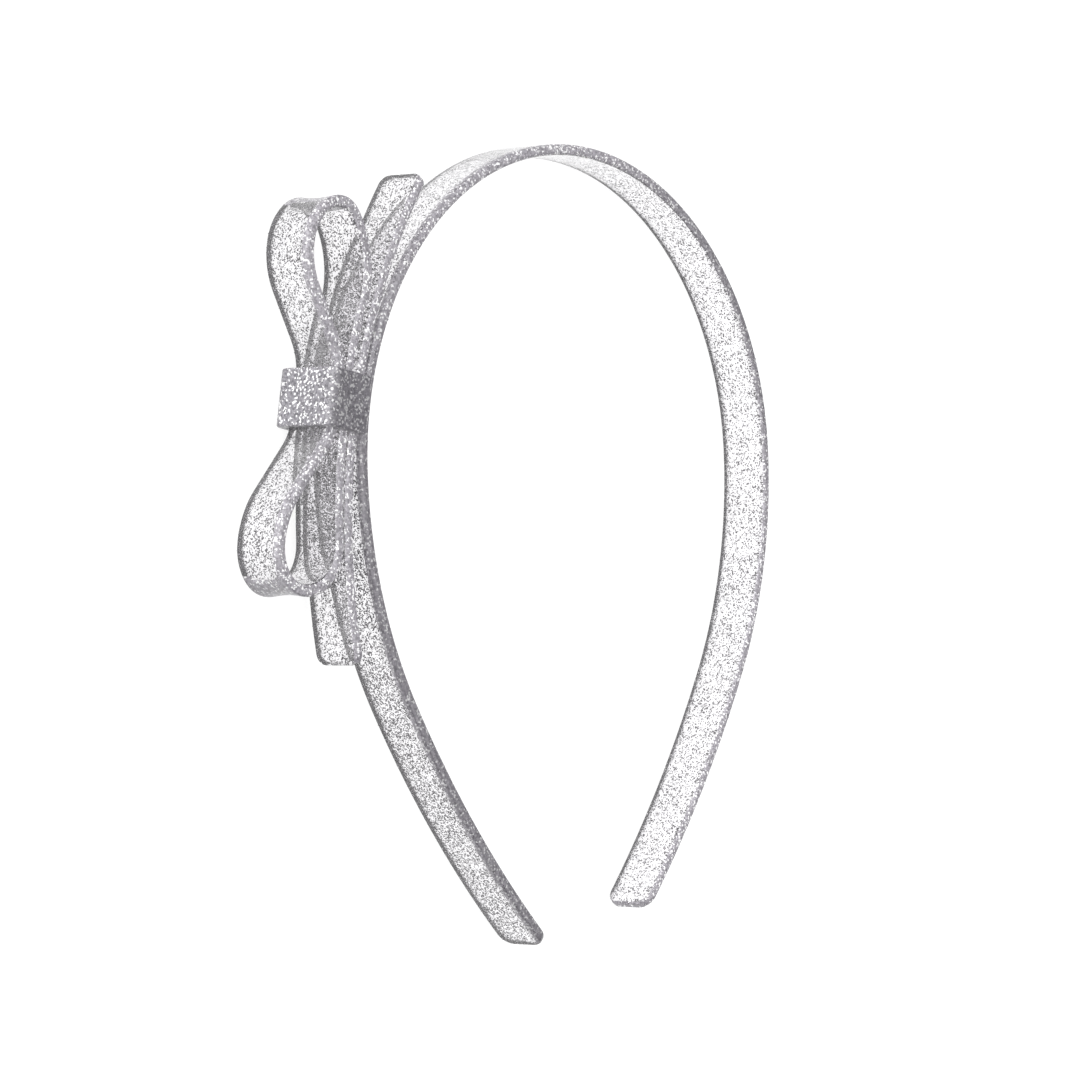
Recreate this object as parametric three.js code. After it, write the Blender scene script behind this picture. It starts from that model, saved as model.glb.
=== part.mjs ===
// A bow headband in clear glitter acetate, lying on its long edge as it rests by itself.
// Millimetres, +Z up. The top of the hoop points to +Y and the bow sits on the -X side.
import * as THREE from 'three';

const { degToRad, radToDeg } = THREE.MathUtils;

// Every strip is bent from acetate sheet with polished, rounded edges.
const EDGE_ROUND = 0.7;
const GAP = 0.3;

// Band: the centreline runs from the plain tip over the crown to the tip below the bow.
const BAND_WIDTH = 10;
const BAND_SHEET = 2;
const BAND_TIP_ROUND = 2.8;
const CROWN_RADIUS = 57.5;
const CROWN_HALF_TURN = 89.7;
const TEMPLE = { radius: 85, turn: 29.8 };
const PLAIN_TIP = { radius: 214, turn: 13.6 };
const BOW_TIP = { radius: 214, turn: 15 };

// Bow: its seat is on the band's outer face, this many degrees above the hoop's widest point.
const BOW_SEAT_ANGLE = 12;
const RIBBON_WIDTH = 10;
const RIBBON_SHEET = 2.2;
const RIBBON_END_ROUND = 2;

// Tails: one strip, gently bowed outwards, with its upper end leaning in towards the band.
const TAILS = { width: 9.6, radius: 105, upperLength: 45, lowerLength: 46, lean: 2.5, lift: 0.42 };

// Loops: one strip bent into a ring. Heights are centrelines above the seat, inside the knot.
const BACK_HEIGHT = 4.2;
const FRONT_HEIGHT = 6.7;
const FRONT_BEND_RADIUS = 11;
const BACK_STRAIGHT = 5.2;
const RING_JOINT = 0.5;
const FLARE = 0.45;
const FLARE_SPAN = 15;
// reach: outermost distance from the knot's middle. slope: the front strip's rise, in degrees.
// The rest are centreline radii, in order from the back strip round the end to the front strip.
const LOOPS = {
  upper: { reach: 35.2, slope: 38, back: 45, heel: 16.8, toe: 4.2, nose: 6.6, shoulder: 9.7, bulge: 12.1 },
  lower: { reach: 35.6, slope: 33, back: 97, heel: 8.2, toe: 8.2, nose: 6.05, shoulder: 8.1, bulge: 16.4 },
};
const OCTANT = 45;

// Knot: a cap bent over the loops and tails, its legs ending on the band's face.
const KNOT = { length: 10.4, shift: -0.3, width: 13.4, top: 10.25, ceiling: 8.3, foot: 0.35 };
const KNOT_SHOULDER_ROUND = 1.8;
const KNOT_EDGE_ROUND = 0.5;
const KNOT_RIM_ROUND = 0.4;

// Facets.
const CHORD_ERROR = 0.03;
const CORNER_STEPS = 2;
const END_ROUND_ANGLES = [25, 55, 90];
const TIP_ROUND_ANGLES = [22.5, 45, 67.5, 90];
const LOOP_FACE_STEPS = 4;
const TIP_CLEARANCE = 1;
const LEAST_STEP = 0.02;

const ACETATE = { color: 0xd9d9df, roughness: 0.12, metalness: 0 };

// The point reached after running a distance along one straight or arc.
function along({ x, y, heading, curve }, run) {
  if (curve === 0) {
    return { x: x + run * Math.cos(heading), y: y + run * Math.sin(heading), heading };
  }
  const turned = heading + curve * run;
  return {
    x: x + (Math.sin(turned) - Math.sin(heading)) / curve,
    y: y - (Math.cos(turned) - Math.cos(heading)) / curve,
    heading: turned,
  };
}

// A path is a chain of rows: an arc has a radius and a turn, left positive, a straight a length.
function tracePath(rows, start = { x: 0, y: 0, heading: 0 }) {
  let point = start;
  let travelled = 0;
  const legs = [];
  for (const { radius, turn = 0, length } of rows) {
    const bend = degToRad(turn);
    const run = turn === 0 ? length : radius * Math.abs(bend);
    const leg = { ...point, from: travelled, run, curve: turn === 0 ? 0 : Math.sign(bend) / radius };
    legs.push(leg);
    point = along(leg, run);
    travelled += run;
  }
  return { rows, legs, length: travelled };
}

function pointAt(path, distance) {
  const leg = path.legs.findLast(({ from }) => from <= distance) ?? path.legs[0];
  return along(leg, distance - leg.from);
}

// The same path moved so that the point at a distance along it lands on a target and heading.
function placePath(path, distance, target) {
  const here = pointAt(path, distance);
  const turned = target.heading - here.heading;
  const [cos, sin] = [Math.cos(turned), Math.sin(turned)];
  return tracePath(path.rows, {
    x: target.x - here.x * cos + here.y * sin,
    y: target.y - here.x * sin - here.y * cos,
    heading: turned,
  });
}

// Distances along a path where a section is needed: enough on each arc, and the rounded ends.
function stationsOf(path, tipRound) {
  const marks = [];
  for (const { from, run, curve } of path.legs) {
    const step = curve === 0 ? run : Math.sqrt((8 * CHORD_ERROR) / Math.abs(curve));
    const count = Math.ceil(run / step);
    for (let i = 0; i <= count; i += 1) marks.push(from + (run * i) / count);
  }
  const ends = END_ROUND_ANGLES.map((angle) => EDGE_ROUND * (1 - Math.cos(degToRad(angle))));
  const tips = TIP_ROUND_ANGLES.map((angle) => tipRound * (1 - Math.cos(degToRad(angle))));
  const nearEnd = [...ends, ...tips.filter((mark) => mark > EDGE_ROUND)];
  const reserved = tipRound + TIP_CLEARANCE;
  const clear = marks.filter((mark) => mark > reserved && mark < path.length - reserved);
  const all = [...nearEnd, ...clear, ...nearEnd.map((mark) => path.length - mark)];
  all.sort((a, b) => a - b);
  return all.filter((mark, i) => i === 0 || mark - all[i - 1] > LEAST_STEP);
}

// Half a strip's width near its round-cornered end, on an outline set in from the outermost one.
function halfWidth({ width, tipRound }, fromEnd, setIn) {
  const gap = Math.max(0, tipRound - fromEnd);
  const reach = tipRound - setIn;
  return width / 2 - tipRound + Math.sqrt(Math.max(0, reach ** 2 - gap ** 2));
}

// A strip's section across its thickness and width, listed anticlockwise. Each corner turns from
// the broad face to the edge, and close to the strip's end it starts part of the way round.
function stripSection(shape, fromEnd) {
  const { sheet, faceSteps = 1 } = shape;
  const first = Math.asin(Math.max(0, 1 - fromEnd / EDGE_ROUND));
  const corner = Array.from({ length: CORNER_STEPS + 1 }, (_, i) => {
    const turn = first + ((Math.PI / 2 - first) * i) / CORNER_STEPS;
    const up = halfWidth(shape, fromEnd, EDGE_ROUND * (1 - Math.sin(turn)));
    return new THREE.Vector2(sheet / 2 - EDGE_ROUND * (1 - Math.cos(turn)), up);
  });
  const { x: rise, y: side } = corner[0];
  const face = Array.from({ length: faceSteps - 1 }, (_, i) =>
    new THREE.Vector2(rise, side * ((2 * (i + 1)) / faceSteps - 1)));
  const lower = corner.map(({ x, y }) => new THREE.Vector2(x, -y)).reverse();
  const half = [...lower, ...face, ...corner];
  return [...half, ...half.map((point) => point.clone().negate())];
}

// A closed body through rings of equal count, each listed anticlockwise as seen from the far end.
function loft(name, rings, section) {
  const count = section.length;
  const positions = rings.flatMap((ring) => ring.flatMap(({ x, y, z }) => [x, y, z]));
  const index = [];
  for (let row = 0; row + 1 < rings.length; row += 1) {
    for (let i = 0; i < count; i += 1) {
      const [a, b] = [row * count + i, row * count + ((i + 1) % count)];
      index.push(a, b, b + count, a, b + count, a + count);
    }
  }
  const last = (rings.length - 1) * count;
  for (const [a, b, c] of THREE.ShapeUtils.triangulateShape(section, [])) {
    index.push(a, c, b, last + a, last + b, last + c);
  }
  const geometry = new THREE.BufferGeometry();
  geometry.setAttribute('position', new THREE.Float32BufferAttribute(positions, 3));
  geometry.setIndex(index);
  geometry.computeVertexNormals();
  const mesh = new THREE.Mesh(geometry, new THREE.MeshStandardMaterial(ACETATE));
  mesh.name = name;
  return mesh;
}

// A strip carried along a path, its width upright. Where flareAt rises, its edges curl outwards.
function strip(name, path, shape) {
  const { width, tipRound, flareAt = () => 0 } = shape;
  const rings = stationsOf(path, tipRound).map((distance) => {
    const fromEnd = Math.min(distance, path.length - distance);
    const { x, y, heading } = pointAt(path, distance);
    const flare = flareAt(distance);
    return stripSection(shape, fromEnd).map(({ x: across, y: up }) => {
      const offset = across + flare * (1 - Math.min(1, (2 * up) / width) ** 2);
      return new THREE.Vector3(x - offset * Math.sin(heading), y + offset * Math.cos(heading), up);
    });
  });
  return loft(name, rings, stripSection(shape, EDGE_ROUND / 2));
}

function buildBand() {
  const crown = { radius: CROWN_RADIUS, turn: CROWN_HALF_TURN };
  const path = tracePath([PLAIN_TIP, TEMPLE, crown, crown, TEMPLE, BOW_TIP]);
  const apex = path.legs[3].from;
  const placed = placePath(path, apex, { x: 0, y: CROWN_RADIUS, heading: Math.PI });
  return strip('band', placed, { width: BAND_WIDTH, sheet: BAND_SHEET, tipRound: BAND_TIP_ROUND });
}

function buildTails() {
  const { width, radius, upperLength, lowerLength, lean, lift } = TAILS;
  const turn = -radToDeg((upperLength + lowerLength) / radius);
  const middle = { x: 0, y: lift + RIBBON_SHEET / 2, heading: -degToRad(lean) };
  const path = placePath(tracePath([{ radius, turn }]), lowerLength, middle);
  return strip('bow_tails', path, { width, sheet: RIBBON_SHEET, tipRound: RIBBON_END_ROUND });
}

// The rows of one loop from the ring's joint to the knot's middle, solved so that it closes.
function loopRows({ reach, slope, back, heel, toe, nose, shoulder, bulge }) {
  const rise = degToRad(slope);
  const diagonal = Math.SQRT1_2;
  const noseAt = reach - RIBBON_SHEET / 2;
  const endRun = heel * diagonal + toe * (1 - diagonal);
  const dip = Math.asin((noseAt - BACK_STRAIGHT - endRun) / (back + heel));
  const lowest = BACK_HEIGHT - (back + heel) * (1 - Math.cos(dip));
  const noseHeight = lowest + heel * (1 - diagonal) + toe * diagonal;
  const topHeight = noseHeight + nose * diagonal + shoulder * (1 - diagonal);
  const topAt = noseAt - nose * (1 - diagonal) - shoulder * diagonal;
  const bends = FRONT_BEND_RADIUS + bulge;
  const front = (topHeight - FRONT_HEIGHT - bends * (1 - Math.cos(rise))) / Math.sin(rise);
  const middle = topAt - bends * Math.sin(rise) - front * Math.cos(rise);
  return [
    { length: BACK_STRAIGHT - RING_JOINT / 2 },
    { radius: back, turn: -radToDeg(dip) },
    { radius: heel, turn: OCTANT + radToDeg(dip) },
    { radius: toe, turn: OCTANT },
    { radius: nose, turn: OCTANT },
    { radius: shoulder, turn: OCTANT },
    { radius: bulge, turn: slope },
    { length: front },
    { radius: FRONT_BEND_RADIUS, turn: -slope },
    { length: middle },
  ];
}

function buildLoops() {
  const upper = loopRows(LOOPS.upper);
  const lower = loopRows(LOOPS.lower).reverse();
  const start = { x: RING_JOINT / 2, y: BACK_HEIGHT, heading: 0 };
  const path = tracePath([...upper, ...lower], start);
  const noses = [path.legs[4].from, path.legs[upper.length + 6].from];
  const flareAt = (distance) => {
    const away = Math.min(...noses.map((nose) => Math.abs(distance - nose)));
    return FLARE * Math.cos((Math.PI / 2) * Math.min(1, away / FLARE_SPAN)) ** 2;
  };
  return strip('bow_loops', path, {
    width: RIBBON_WIDTH,
    sheet: RIBBON_SHEET,
    tipRound: EDGE_ROUND,
    faceSteps: LOOP_FACE_STEPS,
    flareAt,
  });
}

// A contour with right-angled corners rounded off, drawn in by an inset all round.
function roundedContour(corners, inset) {
  return corners.flatMap(({ at, round }, i) => {
    const before = corners.at(i - 1).at;
    const after = corners[(i + 1) % corners.length].at;
    const arriving = at.clone().sub(before).normalize();
    const leaving = after.clone().sub(at).normalize();
    const centre = at.clone().addScaledVector(arriving, -round).addScaledVector(leaving, round);
    const side = Math.sign(arriving.cross(leaving));
    const facing = new THREE.Vector2(arriving.y, -arriving.x);
    return Array.from({ length: CORNER_STEPS + 1 }, (_, step) => {
      const angle = degToRad((side * 90 * step) / CORNER_STEPS);
      const normal = facing.clone().rotateAround(new THREE.Vector2(), angle);
      return centre.clone().addScaledVector(normal, side * round - inset);
    });
  });
}

function buildKnot() {
  const outer = KNOT.width / 2;
  const inner = RIBBON_WIDTH / 2 + GAP;
  const table = [
    { height: KNOT.foot, side: -outer, round: KNOT_EDGE_ROUND },
    { height: KNOT.top, side: -outer, round: KNOT_SHOULDER_ROUND },
    { height: KNOT.top, side: outer, round: KNOT_SHOULDER_ROUND },
    { height: KNOT.foot, side: outer, round: KNOT_EDGE_ROUND },
    { height: KNOT.foot, side: inner, round: KNOT_EDGE_ROUND },
    { height: KNOT.ceiling, side: inner, round: KNOT_EDGE_ROUND },
    { height: KNOT.ceiling, side: -inner, round: KNOT_EDGE_ROUND },
    { height: KNOT.foot, side: -inner, round: KNOT_EDGE_ROUND },
  ];
  const corners = table.map(({ height, side, round }) => ({ at: new THREE.Vector2(height, side), round }));
  const steps = END_ROUND_ANGLES.map((angle) => ({
    fromEnd: KNOT_RIM_ROUND * (1 - Math.cos(degToRad(angle))),
    inset: KNOT_RIM_ROUND * (1 - Math.sin(degToRad(angle))),
  }));
  const half = KNOT.length / 2;
  const low = steps.map(({ fromEnd, inset }) => ({ along: fromEnd - half, inset }));
  const high = low.map(({ along: at, inset }) => ({ along: -at, inset })).reverse();
  const rings = [...low, ...high].map(({ along: at, inset }) =>
    roundedContour(corners, inset).map(({ x: height, y: side }) =>
      new THREE.Vector3(at + KNOT.shift, height, side)));
  return loft('bow_knot', rings, roundedContour(corners, low[0].inset));
}

function buildBow() {
  const bow = new THREE.Group();
  const seat = degToRad(BOW_SEAT_ANGLE);
  const outerFace = CROWN_RADIUS + BAND_SHEET / 2;
  bow.position.set(-outerFace * Math.cos(seat), outerFace * Math.sin(seat), 0);
  bow.rotation.z = degToRad(90 - BOW_SEAT_ANGLE);
  bow.add(buildTails(), buildLoops(), buildKnot());
  return bow;
}

// The knot's flank stands proud of the band, so the hoop rolls about it until its far side is down.
function restingLean() {
  const proud = (KNOT.width - BAND_WIDTH) / 2;
  const atKnot = CROWN_RADIUS + BAND_SHEET / 2 + KNOT.foot + KNOT_EDGE_ROUND;
  const templeOffset = (TEMPLE.radius - CROWN_RADIUS) * Math.cos(degToRad(BOW_SEAT_ANGLE));
  const atFarSide = TEMPLE.radius + BAND_SHEET / 2 - EDGE_ROUND - templeOffset;
  return Math.asin(proud / (atKnot + atFarSide));
}

function buildHeadband() {
  const leaning = new THREE.Group();
  leaning.add(buildBand(), buildBow());
  const seat = degToRad(BOW_SEAT_ANGLE);
  leaning.setRotationFromAxisAngle(new THREE.Vector3(Math.sin(seat), Math.cos(seat), 0), restingLean());
  leaning.updateMatrixWorld(true);
  const box = new THREE.Box3().setFromObject(leaning, true);
  const middle = box.getCenter(new THREE.Vector3());
  leaning.position.set(-middle.x, -middle.y, -box.min.z);
  const headband = new THREE.Group();
  headband.add(leaning);
  headband.updateMatrixWorld(true);
  return headband;
}

export default buildHeadband();
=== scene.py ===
"""Bow headband of clear acetate filled with silver glitter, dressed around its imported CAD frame.

Laid out as an add-on: the settings hold sizes and colours, each operator makes one piece or the
stage, and a panel lists them. Lengths are in metres, angles in radians, all in the frame's own axes.
"""

from functools import wraps
from math import asin, cos, pi, radians, sin, sqrt, tau

import bpy
import numpy as np
from bpy.props import FloatProperty, FloatVectorProperty, IntProperty, PointerProperty
from bpy.types import Operator, Panel, PropertyGroup
from mathutils import Matrix, Vector


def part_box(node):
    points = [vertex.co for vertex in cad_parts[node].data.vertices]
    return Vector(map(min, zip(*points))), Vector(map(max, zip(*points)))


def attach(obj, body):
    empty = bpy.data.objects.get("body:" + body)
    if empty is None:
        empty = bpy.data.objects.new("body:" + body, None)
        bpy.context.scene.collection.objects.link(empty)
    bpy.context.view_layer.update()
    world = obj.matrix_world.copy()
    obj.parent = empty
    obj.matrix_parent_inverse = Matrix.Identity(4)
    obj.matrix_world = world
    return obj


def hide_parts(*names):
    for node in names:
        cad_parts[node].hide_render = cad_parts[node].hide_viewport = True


bl_info = {
    "name": "Glitter Bow Headband",
    "version": (1, 0, 0),
    "blender": (4, 5, 0),
    "location": "3D View > Sidebar > Headband",
    "description": "Builds a bow headband of clear glitter acetate and the stage that it lies on",
    "category": "Add Mesh",
}

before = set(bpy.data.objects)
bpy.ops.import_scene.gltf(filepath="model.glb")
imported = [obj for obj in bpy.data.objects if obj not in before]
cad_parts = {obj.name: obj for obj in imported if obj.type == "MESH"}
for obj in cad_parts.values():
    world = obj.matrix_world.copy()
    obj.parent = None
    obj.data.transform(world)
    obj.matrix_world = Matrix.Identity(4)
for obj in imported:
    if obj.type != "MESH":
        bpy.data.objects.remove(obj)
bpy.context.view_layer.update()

MM = 0.001
RIM_MASK = "rim"
BODY = "root"


# Settings


def length(name, description, millimetres):
    """A length setting, given here in millimetres and kept in metres."""
    return FloatProperty(
        name=name, description=description, default=millimetres * MM, unit="LENGTH", precision=5
    )


def angle(name, description, degrees):
    """An angle setting, given here in degrees and kept in radians."""
    return FloatProperty(
        name=name, description=description, default=radians(degrees), subtype="ANGLE", unit="ROTATION"
    )


def share(name, description, default, most=1.0):
    """A plain number from nothing to a limit."""
    return FloatProperty(name=name, description=description, default=default, min=0.0, max=most, precision=4)


def colour(name, description, default):
    """A linear colour setting."""
    return FloatVectorProperty(
        name=name, description=description, default=default, size=3, min=0.0, max=1.0, subtype="COLOR"
    )


class BandSizes(PropertyGroup):
    """The hoop: a strip along arcs from the plain tip over the crown to the tip below the bow."""

    width: length("Width", "Width of the strip", 10)
    sheet: length("Sheet", "Thickness of the acetate sheet", 2)
    edge_round: length("Edge round", "Radius of every strip's polished edges", 0.7)
    tip_round: length("Tip round", "Corner radius of the two tips", 2.8)
    crown_radius: length("Crown radius", "Radius of the arc over the head", 57.5)
    crown_half_turn: angle("Crown half turn", "Turn of the crown's arc to each side of its top", 89.7)
    temple_radius: length("Temple radius", "Radius of the arcs at the temples", 85)
    temple_turn: angle("Temple turn", "Turn of the arcs at the temples", 29.8)
    tip_radius: length("Tip arc radius", "Radius of the arcs that end in the tips", 214)
    plain_tip_turn: angle("Plain tip turn", "Turn of the arc on the plain side", 13.6)
    bow_tip_turn: angle("Bow tip turn", "Turn of the arc below the bow", 15)


class BowSizes(PropertyGroup):
    """The bow's seat on the band, its tails and the ring of its loops."""

    seat_angle: angle("Seat angle", "How far the bow sits above the hoop's widest point", 12)
    ribbon_width: length("Ribbon width", "Width of the strip that makes the loops", 10)
    ribbon_sheet: length("Ribbon sheet", "Thickness of the bow's acetate sheet", 2.2)
    end_round: length("End round", "Corner radius of the tails' ends", 2)
    tail_width: length("Tail width", "Width of the tails' strip", 9.6)
    tail_radius: length("Tail radius", "Radius that the tails bow outwards by", 105)
    upper_tail: length("Upper tail", "Length of the upper tail from the knot's middle", 45)
    lower_tail: length("Lower tail", "Length of the lower tail from the knot's middle", 46)
    tail_lean: angle("Tail lean", "How far the upper tail leans in towards the band", 2.5)
    tail_lift: length("Tail lift", "Gap between the band and the tails at the knot", 0.42)
    back_height: length("Back height", "Height of the loops' back strip above the seat", 4.2)
    front_height: length("Front height", "Height of the loops' front strip above the seat", 6.7)
    front_bend: length("Front bend", "Radius of the front strip's bend beside the knot", 11)
    back_straight: length("Back straight", "Straight run of the back strip from the knot's middle", 5.2)
    ring_joint: length("Ring joint", "Gap where the loops' two ends meet inside the knot", 0.5)
    flare: length("Flare", "How far the loops' edges curl outwards at their ends", 0.45)
    flare_span: length("Flare span", "Distance along the strip over which the flare fades", 15)


class KnotSizes(PropertyGroup):
    """The cap bent over the loops and tails. Heights are above the bow's seat."""

    length: length("Length", "Length along the bow", 10.4)
    shift: length("Shift", "Shift along the bow from the seat's middle", -0.3)
    width: length("Width", "Width over both legs", 13.4)
    top: length("Top", "Height of the outer face", 10.25)
    ceiling: length("Ceiling", "Height of the inner face", 8.3)
    foot: length("Foot", "Height of the legs' ends", 0.35)
    side_gap: length("Side gap", "Gap between each leg and the loops", 0.3)
    shoulder_round: length("Shoulder round", "Radius of the two outer shoulders", 1.8)
    corner_round: length("Corner round", "Radius of the other corners", 0.5)
    rim_round: length("Rim round", "Radius of the edges at both mouths", 0.4)


class AcetateLook(PropertyGroup):
    """The clear sheet, its milky and dark edges, and the knot's faces."""

    edge_shade: share("Edge shade", "How far the band's upper edge darkens where it is shaded", 0.52)
    fade: share("Fade", "How far the band's outer face darkens towards its upper edge", 0.3)
    loop_fade: share("Loop fade", "How far the loops' outer face darkens at its upper edge and bends", 0.15)
    # Painted shade: the band's lower edge is darker below the bow than on its plain side.
    rim_least: share("Rim least", "Rim mask of the band's lower edge on its plain side", 0.8)
    tint: colour("Tint", "Colour that light takes on at each surface", (0.97, 0.96, 0.978))
    # Painted shade: the rim mask turns lower edges, the band's shaded upper edge and the knot's flanks
    # towards this tint, and the fades by upper edges and bends too.
    shade_tint: colour("Rim tint", "Colour that the rim mask turns surfaces towards", (0.05, 0.045, 0.055))
    clear: share("Clear", "Share of light that passes the broad faces, against a faint haze", 0.95)
    satin_dark: colour("Satin dark", "Colour of the cut edges between flakes", (0.19, 0.18, 0.2))
    satin_light: colour("Satin light", "Colour of the cut edges over flakes", (0.47, 0.45, 0.49))
    satin_white: share("Satin white", "Share of the cut edges that bright flakes cover", 0.15)
    satin_clear: share("Satin clear", "Share of light that passes the cut edges", 0.4)
    satin_least: share("Satin least", "Roughness of the cut edges where they are smoothest", 0.25)
    satin_most: share("Satin most", "Roughness of the cut edges where they are dullest", 0.325)
    speck_scale: share("Speck scale", "Flakes in each metre along a cut edge", 3300, 50000)
    # Painted shade: the lower edges' dark, nearly opaque finish, with white cells for flakes.
    lower_dark: colour("Lower dark", "Colour of the lower edges between flakes", (0.02, 0.018, 0.022))
    lower_light: colour("Lower light", "Colour of the lower edges over flakes", (0.1, 0.095, 0.105))
    lower_white: share("Lower white", "Share of the lower edges that bright flakes cover", 0.12)
    lower_clear: share("Lower clear", "Share of light that passes the lower edges", 0.15)
    knot_dark: colour("Knot dark", "Colour of the knot's faces between flakes", (0.13, 0.125, 0.14))
    knot_light: colour("Knot light", "Colour of the knot's faces over flakes", (0.39, 0.375, 0.41))
    knot_white: share("Knot white", "Share of the knot's faces that bright flakes cover", 0.2)
    knot_scale: share("Knot scale", "Flakes in each metre along the knot's faces", 2900, 50000)
    knot_clear: share("Knot clear", "Share of light that passes the knot's faces", 0.35)
    # Painted shade on the knot's flanks.
    knot_flank_shade: share("Knot flank", "How far the knot's flanks darken towards the rim tint", 0.65)
    refraction: share("Refraction", "Index of refraction", 1.48, 3.0)
    least_roughness: share("Least roughness", "Roughness where the polish is best", 0.015)
    most_roughness: share("Most roughness", "Roughness where the polish is worn", 0.06)
    polish_scale: share("Polish scale", "Patches of polish in each metre", 160, 5000)
    wave_height: length("Wave height", "Height of the waves that polishing leaves", 0.012)
    wave_scale: share("Wave scale", "Polishing waves in each metre", 220, 5000)


class GlitterLook(PropertyGroup):
    """The flakes inside the sheet."""

    density: share("Density", "Flakes in each cubic millimetre", 5.8, 40)
    knot_share: share("Knot share", "Flakes in the knot, against those in as much of a strip", 1.8, 10)
    reach: length("Reach", "Mean distance from a flake's middle to its corner", 0.13)
    reach_spread: share("Reach spread", "Largest change in that distance, as a share of it", 0.3)
    bright_share: share("Bright share", "Share of the flakes that are bright and large", 0.18)
    bright_size: share("Bright size", "Size of the bright flakes against the others", 1.5, 3)
    knot_bright: share("Knot bright", "Share of the flakes in the knot's top that are bright and large", 0.3)
    knot_size: share("Knot size", "Size of the bright flakes in the knot against the others", 2.1, 3)
    band_fill: share("Band fill", "Flakes in the band, against those in as much of the bow", 1.12, 10)
    # Painted shade: extra flakes below the bow darken that stretch.
    band_thick: share("Band thick", "Share of the band's flakes that lie only below the bow", 0.26)
    ridge: length("Ridge", "Half of a flake's thickness", 0.006)
    tilt: angle("Tilt", "Usual angle between a flake and the sheet", 20)
    bright_tilt: angle("Bright tilt", "Usual angle between a bright flake and the sheet", 6)
    loose_share: share("Loose share", "Share of the other flakes that lie loosely", 0.12)
    loose_tilt: angle("Loose tilt", "Usual angle between a loose flake and the sheet", 60)
    cover: length("Cover", "Depth of the outermost flakes' middles", 0.2)
    knot_cover: length("Knot cover", "Depth of the knot's outermost flakes' middles", 0.36)
    edge_share: share("Edge share", "Share of the flakes that lie close to the strip's edges", 0.25)
    edge_zone: share("Edge zone", "Width of that zone, as a share of half the strip's width", 0.2)
    dark: colour("Dark silver", "Colour of the darkest flakes", (0.2, 0.19, 0.21))
    light: colour("Light silver", "Colour of the lightest flakes", (1.0, 1.0, 1.0))
    lilac: colour("Lilac", "Tint of the coolest flakes", (0.9, 0.86, 0.97))
    rose: colour("Rose", "Tint of the warmest flakes", (1.0, 0.9, 0.95))
    metallic: share("Metallic", "Share of mirror in the flakes' foil, against a matt white", 1.0)
    roughness: share("Roughness", "Roughness of the flakes' foil", 0.3)
    seed: IntProperty(name="Seed", description="Start of the random draws", default=12, min=0)


class StageLook(PropertyGroup):
    """The floor and the light."""

    floor_colour: colour("Floor colour", "Colour of the pale floor", (0.25, 0.25, 0.25))
    floor_glow: share("Floor glow", "Light that comes up through the floor", 0.8, 5)
    floor_side: length("Floor side", "Length of the floor's sides", 6000)
    sky_strength: share("Sky strength", "Brightness of the soft light all round", 0.35, 20)
    box_strength: share("Box strength", "Brightness of the large soft boxes over that", 1.0, 50)


class HeadbandSettings(PropertyGroup):
    """All settings of the headband."""

    band: PointerProperty(type=BandSizes)
    bow: PointerProperty(type=BowSizes)
    knot: PointerProperty(type=KnotSizes)
    acetate: PointerProperty(type=AcetateLook)
    glitter: PointerProperty(type=GlitterLook)
    stage: PointerProperty(type=StageLook)


# The loops' own shapes, in millimetres and degrees. reach: outermost distance from the knot's middle.
# slope: the front strip's rise. The rest are centreline radii, in order from the back strip round
# the end to the front strip.
LOOPS = {
    "upper": {"reach": 35.2, "slope": 38, "back": 45, "heel": 16.8, "toe": 4.2, "nose": 6.6,
              "shoulder": 9.7, "bulge": 12.1},
    "lower": {"reach": 35.6, "slope": 33, "back": 97, "heel": 8.2, "toe": 8.2, "nose": 6.05,
              "shoulder": 8.1, "bulge": 16.4},
}
OCTANT = pi / 4

# The row of a loop's path that starts at its outermost point, the nose
NOSE_ROW = 4

# The photographer's place, measured from the crown's centre along the hoop's own axes
CAMERA_PLACE = Vector((-715.82, 10.26, 596.9)) * MM
CAMERA_YAW = radians(49.979)
CAMERA_PITCH = radians(1.477)
CAMERA_ROLL = radians(-2.089)
CAMERA_LENS = 169.18
CAMERA_SENSOR = 36.0

# The soft boxes: where each one lies, the angles at which it starts and is full, and its strength
LIGHT_BOXES = [
    ((0.0, 0.0, 1.0), 55, 30, 1.6),
    ((-0.8, 0.5, 0.3), 60, 25, 2.4),
    ((-0.9, 0.4, 0.45), 22, 12, 3.0),
    ((-0.6, -0.75, 0.2), 55, 30, -0.2),
]

# Kinds of node sockets, plain white, and the fixed values of the polish patches and the floor
NUMBER = "NodeSocketFloat"
COLOUR = "NodeSocketColor"
WHITE = (1.0, 1.0, 1.0, 1.0)
NOISE_LOW = 0.3
NOISE_HIGH = 0.7
POLISH_DETAIL = 3.0
FLOOR_POLISH = (3.0, 0.75, 0.9)
FLOOR_GLOSS = 0.2

# How far light is followed: in all, off mirrors and through clear sheets
MOST_BOUNCES = 24
MIRROR_BOUNCES = 16
CLEAR_BOUNCES = 24

# Large faces alone set the normals
FULL_WEIGHT = 100

# The shares of the band's run from which its glitter thickens and its edges darken below the bow, both
# painted shade of that stretch, the share that the darkening takes, and the bearing of the run along
# which the upper edge is shaded too, with painted shade
THICK_FROM = 0.66
SHADE_FROM = 0.6
SHADE_SPAN = 0.1
SHADE_BEARING = radians(120)

# The values of a plain strip, where its own don't take their place
PLAIN_STRIP = {
    "noses": [], "bends": [], "fill": 1.0, "thick_share": 0.0, "edge_shade": 0.0, "rim_least": 1.0,
    "satin_start": 0.0, "fade": 0.0, "flare": 0.0, "flare_span": 1.0,
}

# How far down a strip's outer face its upper edge's milky finish and painted shade fade
FADE_WIDTH = 2.4 * MM

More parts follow.
